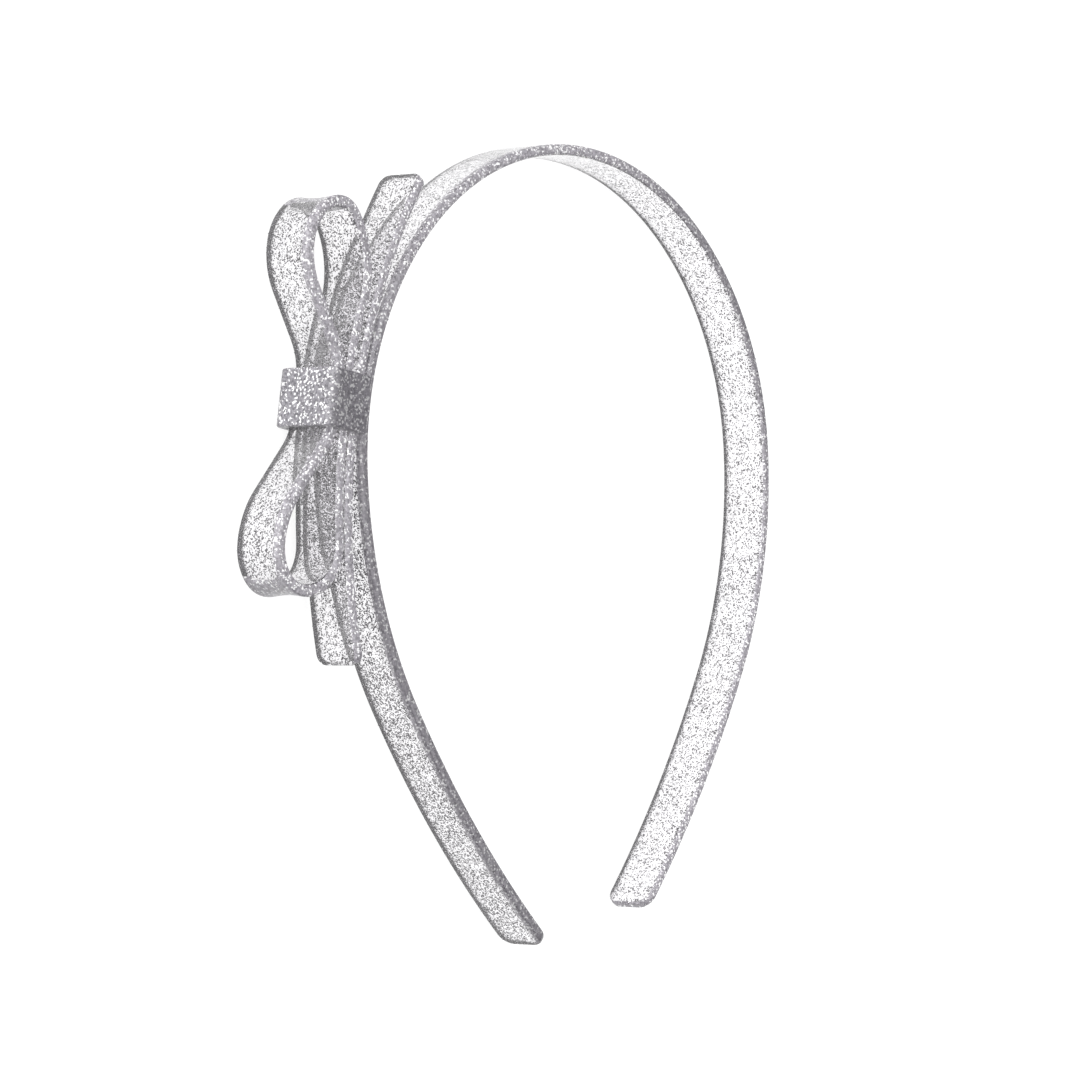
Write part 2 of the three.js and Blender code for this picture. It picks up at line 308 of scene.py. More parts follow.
# Near its noses the loops' outer face is milky and darker: how far in front of a nose it is milky
# most, the distance over which that fades, and how much less milky it is in the middle
BEND_SHIFT = 1.5 * MM
BEND_SPAN = 7.5 * MM
BEND_DIP = 0.35

# The least satin mask of a milky face, and the least rim mask of a face on a lower edge painted in shade
SATIN_FROM = 0.42
RIM_FROM = 0.66

# The material slots of broad faces, milky faces and lower edges painted in shade
BROAD_SLOT = 0
SATIN_SLOT = 1
LOWER_SHADE_SLOT = 2

# The range of the bright flakes' tones, and the two powers of the beta draw that spreads the others
BRIGHT_TONES = (0.9, 1.0)
TONE_SPREAD = (1.1, 4.5)

# The knot's two corners at its shoulders, and its legs' bright flakes against those of a strip
SHOULDERS = slice(1, 3)
LEG_BRIGHT = 0.5

# Fineness of the surfaces
STATION_STEP = 0.8 * MM
STATION_DIGITS = 7
CORNER_STEPS = 6
FACE_STEPS = 12
RIM_ANGLES = np.radians([14, 28, 42, 58, 74, 90])
TIP_ANGLES = np.radians([10, 20, 30, 40, 50, 60, 70, 80, 90])


# Paths


def arc(radius, turn):
    """A path's row for an arc: its run and its turn, left positive."""
    return radius * abs(turn), turn


def straight(run):
    """A path's row for a straight."""
    return run, 0.0


def trace_path(rows, start=(0.0, 0.0, 0.0)):
    """Chains arcs and straights from a start point and heading.

    A row that runs r and turns t ends r * sin(t/2) / (t/2) away, along its heading plus t/2.
    """
    runs, turns = np.array(rows, float).T
    headings = start[2] + np.cumsum(turns) - turns
    chords = runs * np.sinc(turns / tau)
    steps = np.stack([chords * np.cos(headings + turns / 2), chords * np.sin(headings + turns / 2)])
    places = np.array(start[:2])[:, None] + np.cumsum(steps, axis=1) - steps
    return {
        "rows": rows,
        "from": np.cumsum(runs) - runs,
        "places": places,
        "headings": headings,
        "curves": turns / runs,
        "length": runs.sum(),
    }


def path_at(path, distance):
    """The x, the y and the heading at distances along a path, by trace_path's chord formula."""
    leg = np.clip(np.searchsorted(path["from"], distance, side="right") - 1, 0, len(path["from"]) - 1)
    run = distance - path["from"][leg]
    half = path["curves"][leg] * run / 2
    chord = run * np.sinc(half / pi)
    middle = path["headings"][leg] + half
    x = path["places"][0][leg] + chord * np.cos(middle)
    y = path["places"][1][leg] + chord * np.sin(middle)
    return x, y, middle + half


def place_path(path, distance, target):
    """The same path turned and moved so that the point at a distance lands on x, y and heading."""
    x, y, heading = (float(value) for value in path_at(path, np.array(distance)))
    turned = target[2] - heading
    start_x = target[0] - x * cos(turned) + y * sin(turned)
    start_y = target[1] - x * sin(turned) - y * cos(turned)
    return trace_path(path["rows"], (start_x, start_y, turned))


# Strips


def new_strip(width, sheet, edge_round, tip_round, **own):
    """A strip's values: its section, and where it differs from a plain strip."""
    section = {"width": width, "sheet": sheet, "edge_round": edge_round, "tip_round": tip_round}
    return {**PLAIN_STRIP, **section, **own}


def strip_side(from_end, offset, strip):
    """Half the strip's width at distances from its end, for outlines set in from the outermost one.

    Each corner of the tip is a quarter circle: half the width less the tip's radius, plus the root
    of the outline's own radius squared less the remaining distance to the corner's middle squared.
    """
    tip = strip["tip_round"]
    gap = np.maximum(0, tip - from_end)
    return strip["width"] / 2 - tip + np.sqrt(np.maximum(0, (tip - offset) ** 2 - gap**2))


def strip_stations(path, strip):
    """Distances along a strip: even steps in the middle, and the angles of the rim and tip circles."""
    edge, tip = strip["edge_round"], strip["tip_round"]
    corner = tip * (1 - np.cos(TIP_ANGLES))
    near = np.concatenate([edge * (1 - np.cos(RIM_ANGLES)), corner[corner > edge]])
    count = int(np.ceil((path["length"] - 2 * tip) / STATION_STEP))
    middle = np.linspace(tip, path["length"] - tip, count + 1)
    stations = np.concatenate([near, middle, path["length"] - near])
    return np.unique(np.round(stations, STATION_DIGITS))


def strip_section(from_end, strip):
    """The columns round a strip for a column of distances from its end: across, up and surface turn.

    Each corner turns from the broad face to the edge by an angle: it lies the edge radius times the
    angle's cosine above the core, on the outline set in by the radius times one less the angle's
    sine. Close to the end the corner starts at the angle whose outline has just reached it.
    """
    edge = strip["edge_round"]
    first = np.arcsin(np.maximum(0, 1 - from_end / edge))
    turn = first + (pi / 2 - first) * np.linspace(0, 1, CORNER_STEPS + 1)
    side = strip_side(from_end, edge * (1 - np.sin(turn)), strip)
    rise = strip["sheet"] / 2 - edge + edge * np.cos(turn)
    run = np.sin(np.linspace(-pi / 2, pi / 2, FACE_STEPS + 1))[1:-1]
    face_side = side[:, :1] * run
    face_rise = rise[:, :1] + 0 * run
    back = slice(None, None, -1)
    across = [rise[:, back], face_rise, rise, -rise[:, back], -face_rise, -rise]
    up = [-side[:, back], face_side, side, side[:, back], -face_side, -side]
    face_turn = first + 0 * run
    turns = [turn[:, back], face_turn, turn, turn[:, back], face_turn, turn]
    return np.hstack(across), np.hstack(up), np.hstack(turns)


def closeness(distance, marks, span):
    """How close the nearest mark is: the squared cosine of the way to it, a quarter turn for the span."""
    if not marks:
        return np.zeros_like(distance)
    away = np.min([np.abs(distance - mark) for mark in marks], axis=0)
    return np.cos(pi / 2 * np.minimum(1, away / span)) ** 2


def middle_share(strip, up):
    """How close a strip's middle line is: one less the square of the way to its edge."""
    return 1 - (2 * up / strip["width"]) ** 2


def flare_offset(strip, distance, up):
    """How far a strip moves inwards close to a nose, most of all its middle line."""
    flare = strip["flare"] * closeness(distance, strip["noses"], strip["flare_span"])
    return flare * middle_share(strip, up)


def carry(path, distance, across, up):
    """Points of an upright section at distances along a path, and the headings there."""
    x, y, heading = path_at(path, distance)
    return np.stack([x - across * np.sin(heading), y + across * np.cos(heading), up], axis=-1), heading


def strip_surface(path, strip):
    """A grid of points on a strip carried along a path with its width upright, and its two masks.

    Rows are stations along the path and columns go round the section. The upper edge's share of a
    corner is the root of one less the square of the tip's own turn, and a start that is satin takes
    the tip's turn if that is more. The satin mask is that share times the sine of the surface's turn
    away from the broad face. The rim mask darkens the colour. Its painted shade on the lower edges is
    the root of the sine times what the share leaves, fainter before the stretch below the bow. Where
    the surface looks up, the edge's painted shade is added: as much of it as the way into that
    stretch, or as the cosine of twice the angle between the run and the shaded bearing, whichever is
    more. On the outer face of a strip that fades, both masks rise evenly towards the upper edge and,
    less on the middle line, towards a bend.
    """
    distance = strip_stations(path, strip)[:, None]
    from_end = np.minimum(distance, path["length"] - distance)
    across, up, turn = strip_section(from_end, strip)
    points, heading = carry(path, distance, across + flare_offset(strip, distance, up), up)
    tip_turn = np.maximum(0, 1 - from_end / strip["tip_round"])
    start_turn = np.maximum(0, 1 - distance / strip["tip_round"])
    up_share = np.sqrt(1 - tip_turn**2) * (up > 0)
    satin_share = np.maximum(up_share, strip["satin_start"] * start_turn)
    looks_up = up_share * np.sin(turn)
    near = np.clip(1 - (strip["width"] / 2 - up) / FADE_WIDTH, 0, 1) * (strip["fade"] > 0)
    bent = closeness(distance, strip["bends"], BEND_SPAN) * (1 - BEND_DIP * middle_share(strip, up))
    near = np.maximum(near, bent) * (across < 0)
    below = np.clip((distance / path["length"] - SHADE_FROM) / SHADE_SPAN, 0, 1)
    # Painted shade: the upper edge darkens below the bow and along the shaded bearing, the lower edge by its
    # rim.
    shade = strip["edge_shade"] * np.maximum(below, np.cos(2 * (heading - SHADE_BEARING)))
    rim = np.sqrt(np.sin(turn)) * (strip["rim_least"] + (1 - strip["rim_least"]) * below)
    dark = shade * np.maximum(looks_up, near) + strip["fade"] * near * (1 - looks_up)
    return points, rim * (1 - satin_share) + dark, np.maximum(satin_share * np.sin(turn), near)


# Glitter


def unit(vectors):
    """Vectors brought to a length of one."""
    return vectors / np.linalg.norm(vectors, axis=1, keepdims=True)


def flake_cloud(centres, normals, sides, bright_share, bright_size, look, random):
    """Flakes as flat tetrahedra: four corners on a square, two raised and two lowered.

    The flake's plane is the given normal plus two normal draws of the tilt along the sheet, and its
    square is spun by a random angle. Corners lie at plus and minus the reach along both diagonals.
    With the corners come the flakes' tones, from dark to light: a few are bright, larger and flatter.
    """
    count = len(centres)
    bright = random.uniform(0, 1, count) < bright_share
    loose = random.uniform(0, 1, count) < look.loose_share
    steep = np.where(bright, look.bright_tilt, np.where(loose, look.loose_tilt, look.tilt))[:, None]
    lean = np.tan(steep) * random.standard_normal((count, 2))
    third = np.cross(normals, sides)
    upright = unit(normals + lean[:, :1] * sides + lean[:, 1:] * third)
    spin = random.uniform(0, tau, (count, 1))
    first = np.cos(spin) * sides + np.sin(spin) * third
    first = unit(first - upright * np.sum(first * upright, axis=1, keepdims=True))
    second = np.cross(upright, first)
    reach = look.reach * (1 + look.reach_spread * random.uniform(-1, 1, (count, 1)))
    reach = reach * np.where(bright, bright_size, 1.0)[:, None]
    raised = look.ridge * upright
    first = first * reach
    second = second * reach
    corners = [raised + first, second - raised, raised - first, -second - raised]
    tones = np.where(bright, random.uniform(*BRIGHT_TONES, count), random.beta(*TONE_SPREAD, count))
    return centres[:, None, :] + np.stack(corners, axis=1), tones


def strip_flakes(path, strip, look, random):
    """Flakes spread through a strip, lying along its sheet and clear of its faces.

    They lie evenly along the run, apart from a share that lies only below the bow, painted shade that
    darkens that stretch. Some lie close to the edges and turn by a random angle round the edge.
    """
    volume = path["length"] * strip["width"] * strip["sheet"]
    count = int(volume / MM**3 * look.density * strip["fill"])
    is_thick = random.uniform(0, 1, count) < strip["thick_share"]
    share_of_run = random.uniform(np.where(is_thick, THICK_FROM, 0.0), 1)
    distance = look.cover + (path["length"] - 2 * look.cover) * share_of_run
    side = strip_side(np.minimum(distance, path["length"] - distance), look.cover, strip)
    at_edge = random.uniform(0, 1, count) < look.edge_share
    end = random.choice([-1, 1], count)
    up = side * random.uniform(np.where(at_edge, 1 - look.edge_zone, 0.0), 1) * end
    turn = np.where(at_edge, random.uniform(0, pi / 2, count), 0.0)
    across = (strip["sheet"] / 2 - look.cover) * random.uniform(-1, 1, count)
    across = across + flare_offset(strip, distance, up)
    centres, heading = carry(path, distance, across, up)
    level = np.cos(turn)
    normals = np.stack([-level * np.sin(heading), level * np.cos(heading), np.sin(turn) * end], axis=1)
    sides = np.stack([np.cos(heading), np.sin(heading), np.zeros(count)], axis=1)
    return flake_cloud(centres, normals, sides, look.bright_share, look.bright_size, look, random)


# Places


def resting_lean(band, bow, knot):
    """The roll that sets the knot's flank and the band's far side on the floor together.

    Its sine is how far the flank stands proud of the band, over the distance between the two.
    """
    proud = (knot.width - band.width) / 2
    at_knot = band.crown_radius + band.sheet / 2 + knot.foot + knot.corner_round
    temple_offset = (band.temple_radius - band.crown_radius) * cos(bow.seat_angle)
    at_far_side = band.temple_radius + band.sheet / 2 - band.edge_round - temple_offset
    return asin(proud / (at_knot + at_far_side))


def lean_matrix(settings):
    """The turn from the hoop's own axes to the axes of the floor."""
    seat = settings.bow.seat_angle
    axis = Vector((sin(seat), cos(seat), 0.0))
    return Matrix.Rotation(resting_lean(settings.band, settings.bow, settings.knot), 3, axis)


def band_path(band):
    """The band's centreline about the crown's centre, with its top at the crown's radius."""
    crown = arc(band.crown_radius, band.crown_half_turn)
    temple = arc(band.temple_radius, band.temple_turn)
    plain_tip = arc(band.tip_radius, band.plain_tip_turn)
    bow_tip = arc(band.tip_radius, band.bow_tip_turn)
    to_top = [plain_tip, temple, crown]
    path = trace_path([*to_top, crown, temple, bow_tip])
    return place_path(path, path["from"][len(to_top)], (0.0, band.crown_radius, pi))


def band_strip(settings):
    """The band's section, glitter and finish."""
    band, acetate, glitter = settings.band, settings.acetate, settings.glitter
    return new_strip(
        band.width,
        band.sheet,
        band.edge_round,
        band.tip_round,
        fill=glitter.band_fill,
        thick_share=glitter.band_thick,
        edge_shade=acetate.edge_shade,
        rim_least=acetate.rim_least,
        fade=acetate.fade,
        satin_start=1.0,
    )


def crown_centre(settings):
    """Where the crown's centre lies: the CAD band's box middle less that of the band drawn about it."""
    surface, _, _ = strip_surface(band_path(settings.band), band_strip(settings))
    turned = surface.reshape(-1, 3) @ np.array(lean_matrix(settings)).T
    drawn = (turned.min(axis=0) + turned.max(axis=0)) / 2
    low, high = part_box("band")
    return (np.array(low) + np.array(high)) / 2 - drawn


def from_hoop(points, settings):
    """Points about the crown's centre, in the hoop's own axes, set down in the frame."""
    return points @ np.array(lean_matrix(settings)).T + crown_centre(settings)


def from_bow(points, settings):
    """Points about the bow's seat, first axis along the band and second outwards, set down in the frame."""
    seat = settings.bow.seat_angle
    outer = settings.band.crown_radius + settings.band.sheet / 2
    turn = np.array(Matrix.Rotation(pi / 2 - seat, 3, "Z"))
    place = outer * np.array([-cos(seat), sin(seat), 0.0])
    return from_hoop(points @ turn.T + place, settings)


# Meshes


def add_object(name, data):
    """Links a mesh or a camera to the scene as an object at the origin."""
    piece = bpy.data.objects.new(name, data)
    bpy.context.scene.collection.objects.link(piece)
    return piece


def lofted_piece(name, grid, rim, satin, finishes):
    """A closed body from a grid whose columns go round and whose first and last rows are capped.

    The rim mask, one value for each point, is kept as an attribute for the materials. The finishes are
    those of broad faces, of faces where the mean of the satin mask is high enough, and of faces where
    the mean of the rim mask is.
    """
    rows, columns = grid.shape[:2]
    ring = np.arange(columns)
    start = np.arange(rows - 1)[:, None] * columns
    here = start + ring
    beside = start + np.roll(ring, -1)
    quads = np.stack([here, beside, beside + columns, here + columns], axis=-1).reshape(-1, 4)
    caps = [ring[::-1].tolist(), (ring + (rows - 1) * columns).tolist()]
    mesh = bpy.data.meshes.new(name)
    mesh.from_pydata(grid.reshape(-1, 3).tolist(), [], quads.tolist() + caps)
    for material in finishes:
        mesh.materials.append(material)
    satin_share, rim_share = (
        np.append(mask.reshape(-1)[quads].mean(axis=1), mask[[0, -1]].mean(axis=1)) for mask in (satin, rim)
    )
    below = np.where(rim_share > RIM_FROM, LOWER_SHADE_SLOT, BROAD_SLOT)
    finish = np.where(satin_share > SATIN_FROM, SATIN_SLOT, below)
    mesh.polygons.foreach_set("material_index", finish.astype(np.int32))
    mesh.attributes.new(RIM_MASK, "FLOAT", "POINT").data.foreach_set("value", rim.reshape(-1))
    mesh.shade_smooth()
    piece = add_object(name, mesh)
    piece.visible_shadow = False
    weighted = piece.modifiers.new("Even faces", "WEIGHTED_NORMAL")
    weighted.weight = FULL_WEIGHT
    return piece


# The four faces of a flake, by its corners
FLAKE_FACES = np.array([[0, 1, 2], [0, 2, 3], [0, 3, 1], [1, 3, 2]])

# The palette's cells along a side, where a flake's corners lie in its cell, and the UV map's name
PALETTE_SIDE = 16
CELL_CORNERS = np.array([[0.3, 0.3], [0.7, 0.3], [0.7, 0.7], [0.3, 0.7]])
PALETTE_MAP = "OFBake"


def flake_piece(name, corners, tones, material, random):
    """Flakes as one mesh, each with its own cell of a square palette as UVs.

    The palette's columns go from dark to light and its rows from cool to warm.
    """
    count, each = corners.shape[:2]
    triangles = (np.arange(count)[:, None, None] * each + FLAKE_FACES).reshape(-1)
    mesh = bpy.data.meshes.new(name)
    mesh.vertices.add(count * each)
    mesh.vertices.foreach_set("co", corners.reshape(-1).astype(np.float32))
    mesh.loops.add(len(triangles))
    mesh.loops.foreach_set("vertex_index", triangles.astype(np.int32))
    starts = np.arange(0, len(triangles), FLAKE_FACES.shape[1], dtype=np.int32)
    mesh.polygons.add(len(starts))
    mesh.polygons.foreach_set("loop_start", starts)
    mesh.update(calc_edges=True)
    warmth = random.uniform(0, 1, count)
    cell = np.floor(np.stack([tones, warmth], axis=-1)[:, None, :] * PALETTE_SIDE)
    places = ((cell + CELL_CORNERS) / PALETTE_SIDE).reshape(-1, 2)[triangles]
    palette = mesh.uv_layers.new(name=PALETTE_MAP)
    palette.data.foreach_set("uv", places.reshape(-1).astype(np.float32))
    mesh.materials.append(material)
    return add_object(name, mesh)


def seat_on_body(piece, *nodes):
    """Lets a piece move with the object's one body, in place of the nodes that it stands for."""
    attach(piece, BODY)
    if nodes:
        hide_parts(*nodes)


# Materials


def opaque(values):
    """A colour with its alpha at full."""
    return (*values, 1.0)


def built_once(store, name):
    """Hands out the data block of a name, and runs its maker only where there is none yet."""

    def wrap(make):
        @wraps(make)
        def find(*values):
            return getattr(bpy.data, store).get(name) or make(name, *values)

        return find

    return wrap


def set_inputs(node, values):
    """Sets a node's own inputs by their labels."""
    for label, value in values.items():
        node.inputs[label].default_value = value


def add_node(tree, kind, **properties):
    """A shader node of a kind in a tree, with its properties."""
    node = tree.nodes.new(f"ShaderNode{kind}")
    for name, value in properties.items():
        setattr(node, name, value)
    return node


def join(tree, *links):
    """Links nodes in a tree. A link is a node, its output, the next node and its input."""
    for source, output, target, entry in links:
        tree.links.new(source.outputs[output], target.inputs[entry])


def new_group(name, inputs, outputs):
    """An empty shader node group with sockets of the given kinds, and its two end nodes."""
    group = bpy.data.node_groups.new(name, "ShaderNodeTree")
    for side, sockets in (("INPUT", inputs), ("OUTPUT", outputs)):
        for label, kind in sockets.items():
            group.interface.new_socket(label, in_out=side, socket_type=kind)
    return group, group.nodes.new("NodeGroupInput"), group.nodes.new("NodeGroupOutput")


@built_once("node_groups", "hand polish")
def polish_group(name):
    """Soft patches between two values, for a surface that has been polished or wiped by hand."""
    inputs = {"Scale": NUMBER, "Least": NUMBER, "Most": NUMBER}
    group, given, made = new_group(name, inputs, {"Value": NUMBER})
    place = add_node(group, "TexCoord")
    noise = add_node(group, "TexNoise")
    spread = add_node(group, "MapRange")
    set_inputs(noise, {"Detail": POLISH_DETAIL})
    set_inputs(spread, {"From Min": NOISE_LOW, "From Max": NOISE_HIGH})
    join(
        group,
        (place, "Object", noise, "Vector"),
        (given, "Scale", noise, "Scale"),
        (noise, "Fac", spread, "Value"),
        (given, "Least", spread, "To Min"),
        (given, "Most", spread, "To Max"),
        (spread, "Result", made, "Value"),
    )
    return group


@built_once("node_groups", "flake cells")
def cells_group(name):
    """Flakes that lie at a surface: cells with a random grey between two colours, some of them white."""
    inputs = {"Scale": NUMBER, "White share": NUMBER, "Dark": COLOUR, "Light": COLOUR}
    group, given, made = new_group(name, inputs, {"Colour": COLOUR})
    place = add_node(group, "TexCoord")
    cells = add_node(group, "TexVoronoi")
    draw = add_node(group, "SeparateColor")
    grey = add_node(group, "Mix", data_type="RGBA")
    is_white = add_node(group, "Math", operation="LESS_THAN")
    whiten = add_node(group, "Mix", data_type="RGBA")
    set_inputs(whiten, {"B": WHITE})
    join(
        group,
        (place, "Object", cells, "Vector"),
        (given, "Scale", cells, "Scale"),
        (cells, "Color", draw, "Color"),
        (draw, "Red", grey, "Factor"),
        (given, "Dark", grey, "A"),
        (given, "Light", grey, "B"),
        (draw, "Green", is_white, 0),
        (given, "White share", is_white, 1),
        (is_white, "Value", whiten, "Factor"),
        (grey, "Result", whiten, "A"),
        (whiten, "Result", made, "Colour"),
    )
    return group


@built_once("node_groups", "rim shade")
def rim_group(name):
    """A colour that turns towards a tint by the mesh's rim mask."""
    group, given, made = new_group(name, {"Colour": COLOUR, "Tint": COLOUR}, {"Colour": COLOUR})
    rim = add_node(group, "Attribute", attribute_name=RIM_MASK)
    shade = add_node(group, "Mix", data_type="RGBA")
    join(
        group,
        (rim, "Fac", shade, "Factor"),
        (given, "Colour", shade, "A"),
        (given, "Tint", shade, "B"),
        (shade, "Result", made, "Colour"),
    )
    return group


def new_material(name):
    """A material with a fresh Principled shader."""
    material = bpy.data.materials.new(name)
    material.use_nodes = True
    return material, material.node_tree, material.node_tree.nodes["Principled BSDF"]


def add_group(tree, group, values):
    """A group's node in a material's tree, with its own values by their labels."""
    node = add_node(tree, "Group", node_tree=group)
    set_inputs(node, values)
    return node


def add_polish(tree, scale, least, most):
    """A polish group's node in a material's tree."""
    return add_group(tree, polish_group(), {"Scale": scale, "Least": least, "Most": most})


def add_ramp(tree, *colours):
    """A ramp through colours that lie evenly along it."""
    node = add_node(tree, "ValToRGB")
    elements = node.color_ramp.elements
    elements[0].color = colours[0]
    elements[1].color = colours[-1]
    last = len(colours) - 1
    for step in range(1, last):
        elements.new(step / last).color = colours[step]
    return node


@built_once("materials", "clear acetate")
def acetate_material(name, look):
    """Clear sheet: light passes and bends, with patchy polish and faint waves left by polishing."""
    material, tree, shader = new_material(name)
    set_inputs(shader, {"IOR": look.refraction, "Transmission Weight": look.clear})
    # Painted shade: the rim mask darkens the sheet's tint towards the shade tint.
    shade = add_group(tree, rim_group(), {"Colour": opaque(look.tint), "Tint": opaque(look.shade_tint)})
    roughness = add_polish(tree, look.polish_scale, look.least_roughness, look.most_roughness)
    waves = add_polish(tree, look.wave_scale, 0.0, 1.0)
    bump = add_node(tree, "Bump")
    set_inputs(bump, {"Distance": look.wave_height})
    join(
        tree,
        (shade, "Colour", shader, "Base Color"),
        (roughness, "Value", shader, "Roughness"),
        (waves, "Value", bump, "Height"),
        (bump, "Normal", shader, "Normal"),
    )
    return material


def satin_material(name, look, cells, clear, shaded=True):
    """Half clear, half milky sheet with cells where flakes lie at the surface, shaded by its rim mask."""
    material, tree, shader = new_material(name)
    set_inputs(shader, {"IOR": look.refraction, "Transmission Weight": clear})
    surface = add_group(tree, cells_group(), cells)
    if shaded:
        shade = add_group(tree, rim_group(), {"Tint": opaque(look.shade_tint)})
        join(tree, (surface, "Colour", shade, "Colour"))
        surface = shade
    roughness = add_polish(tree, look.polish_scale, look.satin_least, look.satin_most)
    join(tree, (surface, "Colour", shader, "Base Color"), (roughness, "Value", shader, "Roughness"))
    return material


def cell_values(scale, white_share, dark, light):
    """The flake cells' values for one finish."""
    return {"Scale": scale, "White share": white_share, "Dark": opaque(dark), "Light": opaque(light)}


@built_once("materials", "satin edge")
def edge_material(name, look):
    """The strips' upper edges, the loops' bends and the knot's mouths."""
    cells = cell_values(look.speck_scale, look.satin_white, look.satin_dark, look.satin_light)
    return satin_material(name, look, cells, look.satin_clear)


@built_once("materials", "lower edge")
def lower_shade_material(name, look):
    """The strips' lower edges in painted shade: dark, nearly opaque cells where little light comes through.
    """
    cells = cell_values(look.speck_scale, look.lower_white, look.lower_dark, look.lower_light)
    return satin_material(name, look, cells, look.lower_clear, shaded=False)


@built_once("materials", "knot face")
def knot_material(name, look):
    """The knot's faces, with larger flakes than the edges."""
    cells = cell_values(look.knot_scale, look.knot_white, look.knot_dark, look.knot_light)
    return satin_material(name, look, cells, look.knot_clear)


@built_once("materials", "silver glitter")
def glitter_material(name, look):
    """Silver foil: a flake's palette cell gives its tone, dark to light, times a cool or warm tint."""
    material, tree, shader = new_material(name)
    set_inputs(shader, {"Metallic": look.metallic, "Roughness": look.roughness})
    palette = add_node(tree, "UVMap", uv_map=PALETTE_MAP)
    cell = add_node(tree, "SeparateXYZ")
    tones = add_ramp(tree, opaque(look.dark), opaque(look.light))
    tints = add_ramp(tree, opaque(look.lilac), WHITE, opaque(look.rose))
    blend = add_node(tree, "Mix", data_type="RGBA", blend_type="MULTIPLY")
    set_inputs(blend, {"Factor": 1.0})
    join(
        tree,
        (palette, "UV", cell, "Vector"),
        (cell, "X", tones, "Fac"),
        (cell, "Y", tints, "Fac"),
        (tones, "Color", blend, "A"),
        (tints, "Color", blend, "B"),
        (blend, "Result", shader, "Base Color"),
    )
    return material


def floor_material(look):
    """Plain pale floor, matt with soft patches and a glow of its own."""
    material, tree, shader = new_material("pale floor")
    set_inputs(shader, {
        "Base Color": opaque(look.floor_colour),
        "Specular IOR Level": FLOOR_GLOSS,
        "Emission Color": WHITE,
        "Emission Strength": look.floor_glow,
    })
    join(tree, (add_polish(tree, *FLOOR_POLISH), "Value", shader, "Roughness"))
    return material


# Pieces


def dress_strip(name, node, path, strip, place, settings):
    """Makes a strip's clear body in place of its CAD node, and the glitter inside it."""
    random = np.random.default_rng([settings.glitter.seed, len(name)])
    silver = glitter_material(settings.glitter)
    surface, rim, satin = strip_surface(path, strip)
    look = settings.acetate
    finishes = [acetate_material(look), edge_material(look), lower_shade_material(look)]
    seat_on_body(lofted_piece(name, place(surface, settings), rim, satin, finishes), node)
    flakes, tones = strip_flakes(path, strip, settings.glitter, random)
    seat_on_body(flake_piece(f"{name}_glitter", place(flakes, settings), tones, silver, random))


def tails_path(bow):
    """The tails' centreline: one arc whose point above the seat leans towards the band."""
    run = bow.upper_tail + bow.lower_tail
    middle = (0.0, bow.tail_lift + bow.ribbon_sheet / 2, -bow.tail_lean)
    return place_path(trace_path([(run, -run / bow.tail_radius)]), bow.lower_tail, middle)


def loop_rows(loop, bow):
    """The rows of one loop from the ring's joint to the knot's middle, solved so that it closes.

    The back strip dips by the angle whose sine is the run left for it over its two radii. The front
    strip's straight then makes up the height, and the last straight the distance.
    """
    rise = radians(loop["slope"])
    back, heel, toe, nose, shoulder, bulge, reach = (
        loop[key] * MM for key in ("back", "heel", "toe", "nose", "shoulder", "bulge", "reach")
    )
    diagonal = sqrt(0.5)
    nose_at = reach - bow.ribbon_sheet / 2
    end_run = heel * diagonal + toe * (1 - diagonal)
    dip = asin((nose_at - bow.back_straight - end_run) / (back + heel))
    lowest = bow.back_height - (back + heel) * (1 - cos(dip))
    nose_height = lowest + heel * (1 - diagonal) + toe * diagonal
    top_height = nose_height + nose * diagonal + shoulder * (1 - diagonal)
    top_at = nose_at - nose * (1 - diagonal) - shoulder * diagonal
    bends = bow.front_bend + bulge
    front = (top_height - bow.front_height - bends * (1 - cos(rise))) / sin(rise)
    middle = top_at - bends * sin(rise) - front * cos(rise)
    return [
        straight(bow.back_straight - bow.ring_joint / 2),
        arc(back, -dip),
        arc(heel, OCTANT + dip),
        arc(toe, OCTANT),
        arc(nose, OCTANT),
        arc(shoulder, OCTANT),
        arc(bulge, rise),
        straight(front),
        arc(bow.front_bend, -rise),
        straight(middle),
    ]


def loops_path(bow):
    """The ring of both loops, and the distances of their two noses."""
    rows = loop_rows(LOOPS["upper"], bow) + loop_rows(LOOPS["lower"], bow)[::-1]
    path = trace_path(rows, (bow.ring_joint / 2, bow.back_height, 0.0))
    return path, [path["from"][NOSE_ROW], path["from"][len(rows) - NOSE_ROW]]


def knot_outline(knot, bow, inset):
    """The knot's section, height and side, as rows of points for insets from its rim.

    Each right-angled corner is a quarter circle: its centre lies one radius back along the edge that
    arrives and one along the edge that leaves, and its points turn from one edge's normal to the next.
    """
    outer = knot.width / 2
    inner = bow.ribbon_width / 2 + knot.side_gap
    corners = np.array([
        (knot.foot, -outer), (knot.top, -outer), (knot.top, outer), (knot.foot, outer),
        (knot.foot, inner), (knot.ceiling, inner), (knot.ceiling, -inner), (knot.foot, -inner),
    ])
    rounds = np.full(len(corners), knot.corner_round)
    rounds[SHOULDERS] = knot.shoulder_round
    arriving = np.sign(corners - np.roll(corners, 1, axis=0)) * (corners != np.roll(corners, 1, axis=0))
    leaving = np.roll(arriving, -1, axis=0)
    side = arriving[:, 0] * leaving[:, 1] - arriving[:, 1] * leaving[:, 0]
    centres = corners + (leaving - arriving) * rounds[:, None]
    bearing = np.arctan2(-arriving[:, 0], arriving[:, 1])
    bearing = bearing[:, None] + side[:, None] * np.linspace(0, pi / 2, CORNER_STEPS + 1)
    normal = np.stack([np.cos(bearing), np.sin(bearing)], axis=-1)
    reach = (side * rounds)[:, None, None] - np.asarray(inset)[:, None, None, None]
    return (centres[:, None, :] + normal * reach).reshape(len(inset), -1, 2)


